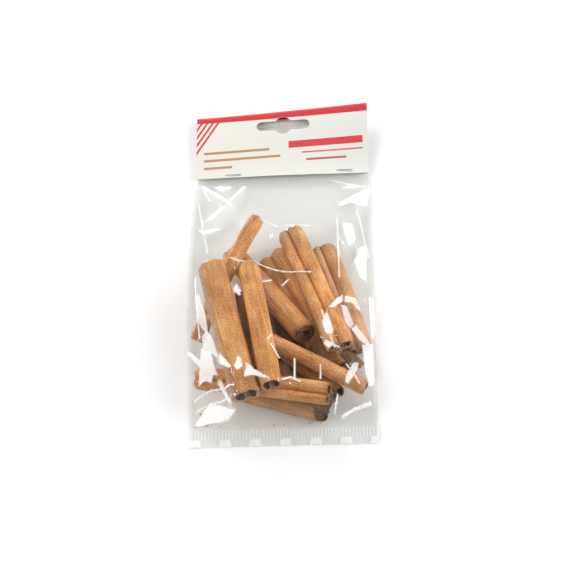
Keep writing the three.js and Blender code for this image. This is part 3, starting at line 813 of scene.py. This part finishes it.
def film_plan():
    """Where each point of the film lies in plan, the heights that both sheets share and where it is held."""
    y_rows = np.interp(np.arange(FILM_ROWS + 1) / FILM_ROWS, ROW_SHARES, ROW_PLACES)
    share = np.arange(FILM_COLUMNS + 1) / FILM_COLUMNS
    share = share - SIDE_CROWDING * np.sin(2 * np.pi * share) / (2 * np.pi)
    left, right = (np.interp(y_rows, OUTLINE[:, 0], OUTLINE[:, side])[:, None] for side in (1, 2))
    x = left + (right - left) * share[None, :]
    y = np.repeat(y_rows[:, None], FILM_COLUMNS + 1, axis=1)
    front_leaf, back_leaf = leaf_heights(x, y)
    neck = (front_leaf + back_leaf) / 2
    floor = np.interp(y, (0, 150, NECK_Y), (0.06, 0.06, 1.75))
    rim = np.where(y >= NECK_Y, neck, np.interp(y, RIM[:, 0], RIM[:, 1]))
    edge = np.zeros(x.shape, dtype=bool)
    edge[:, [0, -1]] = True
    held = edge | (y <= SEAL_HEIGHT) | (y >= NECK_Y)
    held[[0, -1]] = True
    free = smooth_step((y - SEAL_HEIGHT) / 6) * smooth_step((NECK_Y - y) / 5)
    free = free * smooth_step((x - left) / 4) * smooth_step((right - x) / 4)
    return Plan(x, y, left, right, neck, floor, rim, edge, held, free)


def front_film(plan, tops):
    """The front sheet's heights, which points are in a flat facet, and how far the creases rise."""
    x, y = plan.x, plan.y
    rest = np.maximum(plan.floor + 0.8, blur(tops, 2) + FILM_ROOM)
    rest = np.where(y <= SEAL_HEIGHT, 0.75, rest)
    rest = np.where(y >= NECK_Y, plan.neck + 0.3, rest)
    rest = np.where(plan.edge, plan.rim, rest)
    skin = hang_film(rest, plan.held)
    bent = crumples(x, y, 12.0, 0.9, 11, (0.7, 1.5)) + crumples(x, y, 6.0, 0.30, 12, (0.8, 1.4), 0.3)
    bent = bent * spots(x, y, CRUMPLE_CALM, CRUMPLE_PLACES) * plan.free
    height = np.where(plan.held, rest, np.maximum(skin + bent, rest))
    height, flat = add_facets(x, y, blur(height, 1), rest, plan.held)
    pinch = pinch_creases(x, y) * plan.free
    height = height + np.where(flat, 0, pinch)
    height = np.where(plan.held, rest, np.maximum(height, blur(tops, 1) + FILM_TOUCH))
    in_seal = smooth_step((SEAL_HEIGHT + 1 - y) / 1.5) * smooth_step(y / 1.0)
    ribs = RIB_HEIGHT * np.sin(x * 2 * np.pi / RIB_STEP) * in_seal
    return height + np.where(plan.edge, 0, ribs), flat, pinch


def back_film(plan, front):
    """The back sheet's heights: flat on the table, and up to the front one along the side folds."""
    inset = np.minimum(np.minimum(plan.x - plan.left, plan.right - plan.x) / 2.4, 1.0)
    under = np.where(plan.y >= NECK_Y, plan.neck - 0.3, plan.floor)
    turned_up = np.sqrt(np.clip(1 - (1 - inset) ** 2, 0, 1))
    low = np.where(plan.edge, plan.rim, plan.rim + (under - plan.rim) * turned_up)
    low[0], low[-1] = front[0], front[-1]
    wave = 0.05 * crumples(plan.x, plan.y, 16.0, 0.9, 31) * plan.free * inset
    return np.where(plan.held, low, np.maximum(low + wave, 0.04))


def film_sheet(name, plan, heights, step, values):
    """One sheet through every so many columns of the plan, with its numbers for the material."""
    piece, u, v = flat_sheet(name, FILM_COLUMNS // step, FILM_ROWS)
    at = np.rint(v * FILM_ROWS).astype(int), np.rint(u * FILM_COLUMNS / step).astype(int) * step
    move_points(piece, placed(np.stack([plan.x[at], plan.y[at], heights[at]], axis=1)))
    for value, numbers in values.items():
        set_value(piece, value, np.broadcast_to(numbers, plan.x.shape)[at])
    return piece


def make_film(material, contents):
    plan = film_plan()
    front, flat, pinch = front_film(plan, tops_of(contents, plan.x, plan.y))
    # The creases' white is partly painted glint; the facets' white is painted highlight.
    piece = film_sheet("film_bag", plan, front, 1, {
        "crease": smooth_step(pinch / CREASE_RISE * 2.0 - 0.6) * ~flat,
        "glare_and_haze": np.maximum(FACET_PAINTED_GLARE * flat, spots(plan.x, plan.y, 0.0, HAZE_AND_SHEEN_PLACES)),
        "back": 0.0, "seal": seal_milk(plan.x, plan.y)})
    back = film_sheet("film_back", plan, back_film(plan, front), BACK_STEP,
                      {"crease": 0.0, "glare_and_haze": 0.0, "back": 1.0, "seal": 0.0})
    edit_mesh(back, bpy.ops.mesh.flip_normals)
    take(piece)
    back.select_set(True)
    bpy.ops.object.join()
    edit_mesh(piece, bpy.ops.mesh.remove_doubles, threshold=0.00002)
    smooth_shading(piece, 14)
    finish_piece(piece, material)
    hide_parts("bag")


# ---- the header card ----
def cut_slot(piece):
    """Cuts the hang slot through both leaves: a long slot with a round hole in its middle."""
    middle = float(fold_z(SLOT_X)) + 0.2
    for shift, low in ((0.0, middle), (SLOT_BACK_SHIFT, middle - CUTTER_DEPTH)):
        for radius, stretch in ((SLOT_ARM / 2, SLOT_WIDTH / 2 - SLOT_ARM / 2), (SLOT_HOLE / 2, 0.0)):
            start_clean()
            where = placed((SLOT_X, SLOT_Y + shift, low + CUTTER_DEPTH / 2))[0]
            bpy.ops.mesh.primitive_cylinder_add(vertices=48, radius=radius * MM, depth=CUTTER_DEPTH * MM,
                                                location=where)
            cutter = bpy.context.active_object
            bpy.ops.object.transform_apply(location=True, rotation=False, scale=False)
            co = points_of(cutter)
            aside = co[:, 0] - where[0]
            co[:, 0] += np.where(aside > 1e-5, stretch * MM, np.where(aside < -1e-5, -stretch * MM, 0.0))
            move_points(cutter, co)
            apply_modifier(piece, "BOOLEAN", operation="DIFFERENCE", solver="EXACT", object=cutter)
            bpy.data.objects.remove(cutter, do_unlink=True)


def make_card(material):
    piece, u, v = flat_sheet("printed_header_card", CARD_COLUMNS, CARD_ROWS)
    x = (u - 0.5) * CARD_WIDTH
    # s runs 0 to 1 up the front leaf, 1 to 2 round the fold and 2 to 3 down the back leaf.
    s = np.interp(v, (0, 0.42, 0.58, 1.0), (0, 1, 2, 3))
    fy, fz = fold_y(x), fold_z(x)
    t_front, t_back = np.clip(s, 0, 1), np.clip(3 - s, 0, 1)
    y_front = CARD_EDGE_Y + (fy - FOLD_RADIUS - CARD_EDGE_Y) * t_front
    y_back = BACK_EDGE_Y + (fy - FOLD_RADIUS - BACK_EDGE_Y) * t_back
    angle = (1.5 - np.clip(s, 1, 2)) * np.pi
    z_front = leaf_heights(x, y_front)[0]
    z_back = leaf_heights(x, y_back)[1]
    y = np.where(s < 1, y_front, np.where(s > 2, y_back, fy - FOLD_RADIUS + FOLD_RADIUS * np.cos(angle)))
    z = np.where(s < 1, z_front, np.where(s > 2, z_back, fz + FOLD_RADIUS * np.sin(angle)))
    move_points(piece, placed(np.stack([x, y, z], axis=1)))
    distance = np.where(s < 1.5, fy - y, y - fy)
    set_uv(piece, x / CARD_UV, distance / CARD_UV)
    apply_modifier(piece, "SOLIDIFY", thickness=CARD_THICK * MM, offset=0.0)
    cut_slot(piece)
    smooth_shading(piece, 35)
    finish_piece(piece, material)
    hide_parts("header_card")


# ---- the staples ----
def make_staple(name, node, material):
    (x1, y1), (x2, y2) = STAPLES[name]
    top = max(float(leaf_heights(x, y)[0]) for x, y in ((x1, y1), (x2, y2)))
    high, low = top + CARD_THICK / 2 + STAPLE_LIFT, STAPLE_LOW
    leg = STAPLE_LEG / math.hypot(x2 - x1, y2 - y1)
    corners = []
    for f, z in ((leg, low), (0.0, low), (0.0, high), (1.0, high), (1.0, low), (1 - leg, low)):
        corners.append(Vector((x1 + (x2 - x1) * f, y1 + (y2 - y1) * f, z)))
    line = [corners[0]]
    for before, corner, after in zip(corners, corners[1:], corners[2:]):
        inward = (before - corner).normalized() * STAPLE_BEND
        outward = (after - corner).normalized() * STAPLE_BEND
        for t in (0.0, 0.25, 0.5, 0.75, 1.0):
            line.append((1 - t) ** 2 * (corner + inward) + 2 * t * (1 - t) * corner
                        + t * t * (corner + outward))
    line.append(corners[-1])
    curve = bpy.data.curves.new(name, "CURVE")
    curve.dimensions = "3D"
    spline = curve.splines.new("POLY")
    spline.points.add(len(line) - 1)
    for point, place in zip(spline.points, placed([tuple(p) for p in line])):
        point.co = (*place, 1.0)
    curve.bevel_depth = WIRE_RADIUS * MM
    curve.bevel_resolution = 3
    curve.use_fill_caps = True
    piece = bpy.data.objects.new(name, curve)
    bpy.context.scene.collection.objects.link(piece)
    take(piece)
    bpy.ops.object.convert(target="MESH")
    piece = bpy.context.active_object
    edit_mesh(piece, bpy.ops.mesh.remove_doubles, threshold=0.000005)
    edit_mesh(piece, bpy.ops.mesh.normals_make_consistent, inside=False)
    smooth_shading(piece, 50)
    finish_piece(piece, material)
    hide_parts(node)


# ---- crumbs of bark ----
# Each patch's middle across and up, its spread across and up, and how many crumbs it holds.
CRUMB_PATCHES = ((-38.0, 12.0, 9.0, 1.0, 7), (-46.0, 17.0, 1.5, 2.0, 3), (-45.0, 54.0, 1.5, 3.0, 3),
                 (0.0, 11.8, 18.0, 0.8, 4))


def make_crumbs(material):
    rng = np.random.default_rng(5)
    crumbs = []
    for cx, cy, rx, ry, count in CRUMB_PATCHES:
        for _ in range(count):
            x, y = cx + rng.normal() * rx * 0.6, cy + abs(rng.normal()) * ry
            size = rng.uniform(0.25, 0.5)
            start_clean()
            bpy.ops.mesh.primitive_ico_sphere_add(subdivisions=2, radius=1.0)
            crumb = bpy.context.active_object
            co = points_of(crumb)
            co *= np.array([1 + 0.35 * soft_noise(*(p * 1.3 + x)) for p in co])[:, None]
            co *= np.array((rng.uniform(0.8, 1.9), rng.uniform(0.6, 1.0), rng.uniform(0.35, 0.7))) * size
            turn = rng.uniform(0, math.pi)
            c, s = math.cos(turn), math.sin(turn)
            co = co @ np.array(((c, s, 0), (-s, c, 0), (0, 0, 1)))
            co[:, 2] -= co[:, 2].min() - 0.15
            move_points(crumb, placed(co + (x, y, 0)))
            crumbs.append(crumb)
    start_clean()
    for crumb in crumbs:
        crumb.select_set(True)
    bpy.context.view_layer.objects.active = crumbs[0]
    bpy.ops.object.join()
    piece = bpy.context.active_object
    piece.name = "bark_crumbs"
    for name, value in (("tone", 0.9), ("faded", 0.0), ("wear_and_side_shade", 0.0)):
        set_value(piece, name, np.full(len(piece.data.vertices), value))
    smooth_shading(piece, 30)
    finish_piece(piece, material)
    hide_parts("bag")


# ---- floor and light ----
def make_floor():
    start_clean()
    bpy.ops.mesh.primitive_plane_add(size=14.0)
    floor = bpy.context.active_object
    floor.name = "floor"
    floor.data.materials.append(floor_material())


# Softboxes and white panels: direction from the bag's middle, distance and size in metres, and brightness.
SOFTBOXES = {
    "key_softbox": ((-0.30, 0.85, 0.43), 4.0, (0.98, 0.98), 22.0),
    "left_softbox": ((-0.93, -0.10, 0.35), 4.0, (0.74, 0.74), 22.0),
    "right_softbox": ((0.93, 0.00, 0.35), 4.0, (0.80, 0.80), 22.0),
    "left_panel": ((-0.87, 0.15, 0.48), 4.4, (5.0, 2.6), 2.15),
    "right_panel": ((0.87, 0.15, 0.48), 4.4, (5.0, 2.6), 2.95),
    "back_panel": ((0.05, 0.88, 0.48), 4.4, (5.0, 2.6), 0.35),
    "front_panel": ((0.05, -0.88, 0.48), 4.4, (5.0, 2.6), 0.30),
}
SKY = 0.42


def add_softbox(name):
    direction, distance, size, shine = SOFTBOXES[name]
    data = bpy.data.lights.new(name, "AREA")
    data.shape = "RECTANGLE"
    data.size, data.size_y = size
    data.energy = shine * math.pi * size[0] * size[1]
    light = bpy.data.objects.new(name, data)
    bpy.context.scene.collection.objects.link(light)
    way = Vector(direction).normalized()
    light.location = way * distance
    light.visible_camera = False
    light.visible_glossy = name.endswith("softbox")
    light.rotation_euler = way.to_track_quat("Z", "Y").to_euler()


def light_scene():
    world = bpy.data.worlds.new("soft_studio")
    bpy.context.scene.world = world
    world.use_nodes = True
    world.node_tree.nodes["Background"].inputs["Color"].default_value = (1.0, 0.99, 0.975, 1.0)
    world.node_tree.nodes["Background"].inputs["Strength"].default_value = SKY
    for name in SOFTBOXES:
        add_softbox(name)
    bpy.context.scene.view_settings.view_transform = "Standard"
    bpy.context.scene.view_settings.look = "None"
    bpy.context.scene.view_settings.exposure = 0.0
    bpy.context.scene.view_settings.gamma = 1.0


# ---- assembly ----
start_clean()
set_camera()
outer_bark = bark_material("rolled_bark", (0.28, 0.104, 0.028), (0.60, 0.262, 0.078),
                           (0.88, 0.49, 0.195), 0.62)
# The inner face: darker bark, made darker still as painted shade inside the holes of the quills.
inner_bark_and_shade = bark_material("inner_bark_and_shade", (0.055, 0.018, 0.004), (0.120, 0.042, 0.010),
                           (0.190, 0.078, 0.024), 0.85)
cut_bark = bark_material("cut_bark", (0.22, 0.100, 0.036), (0.46, 0.225, 0.085), (0.66, 0.36, 0.150), 0.75)
sticks = []
for number, name in enumerate(STICKS, start=1):
    rolled = roll_stick(name, number, outer_bark, inner_bark_and_shade, cut_bark)
    finish_piece(rolled, outer_bark)
    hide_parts("bag")
    sticks.append(rolled)
make_crumbs(outer_bark)
make_film(film_material(), sticks)
make_card(card_material())
make_staple("staple_wire_left", "staple_left", wire_material())
make_staple("staple_wire_right", "staple_right", wire_material())
make_floor()
light_scene()
